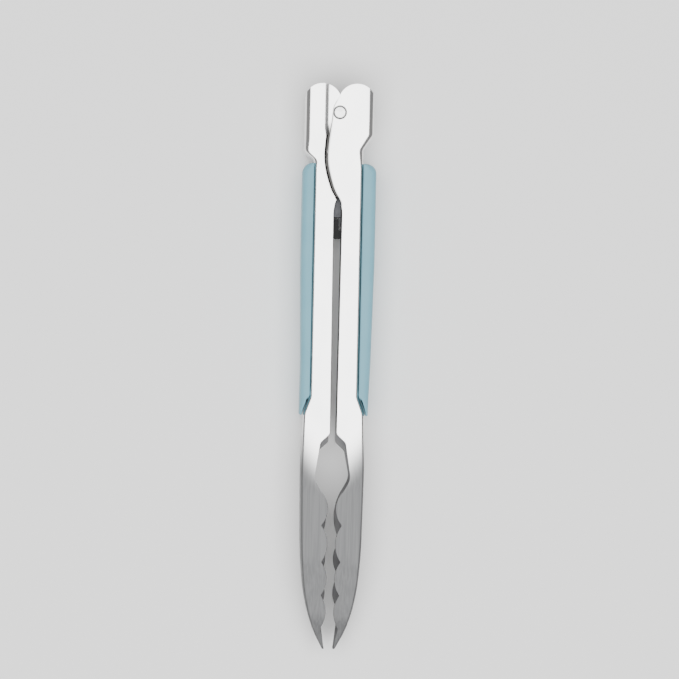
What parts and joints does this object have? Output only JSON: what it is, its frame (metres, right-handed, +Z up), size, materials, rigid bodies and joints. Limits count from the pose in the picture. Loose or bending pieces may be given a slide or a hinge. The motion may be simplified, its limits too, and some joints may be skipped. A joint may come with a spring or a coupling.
{
  "type": "kitchen tongs",
  "caption": "Spring loaded kitchen tongs: stamped steel arms with scalloped heads on a riveted hinge, a torsion spring, soft grips, and a lock worked by sliding a grip.",
  "frame": {"origin": "middle of the closed tongs' footprint, on the plane that they lie on", "axes": "+Y towards the hinge end, +X towards the sliding grip, +Z up along the hinge pin"},
  "size_m": [0.0396, 0.305, 0.029],
  "materials": {
    "arm_steel": "stainless, polished on the handles and satin along the heads",
    "bright_steel": "bright turned stainless",
    "spring_steel": "drawn spring wire and strip",
    "dark_steel": "dull formed strip",
    "soft_skin": "soft touch, fine matte grain",
    "hard_plastic": "moulded, matte",
    "black_nylon": "moulded, low sheen"
  },
  "bodies": {
    "inner_arm": {"inner_arm": "arm_steel", "fixed_grip_core": "hard_plastic", "fixed_grip_skin": "soft_skin", "fixed_grip_washer_upper": "bright_steel", "fixed_grip_washer_lower": "bright_steel", "fixed_grip_screw_upper": "bright_steel", "fixed_grip_screw_lower": "bright_steel", "lock_catch": "dark_steel", "catch_rivets": "bright_steel"},
    "outer_arm": {"outer_arm": "arm_steel", "hinge_rivet": "bright_steel", "rivet_washer": "bright_steel", "hinge_sleeve": "bright_steel", "torsion_spring": "spring_steel", "detent_spring": "spring_steel", "detent_rivet": "bright_steel"},
    "slide_grip": {"slide_grip_core": "hard_plastic", "slide_grip_skin": "soft_skin", "lock_slider": "black_nylon", "slide_screw_upper": "bright_steel", "slide_screw_lower": "bright_steel", "slide_washer": "bright_steel"}
  },
  "joints": [
    {"name": "arm_hinge", "type": "hinge", "parent": "inner_arm", "child": "outer_arm", "pos_m": [0, 0.1367, 0.0145], "axis": [0, 0, 1], "range_deg": [-0.7, 26], "stiffness_Nm_per_rad": 0.8, "springref_deg": 42.97, "deforming": ["torsion_spring"]},
    {"name": "grip_slide", "type": "slide", "parent": "outer_arm", "child": "slide_grip", "axis": [0, 1, 0], "range_m": [0, 0.006], "deforming": ["detent_spring"]}
  ]
}
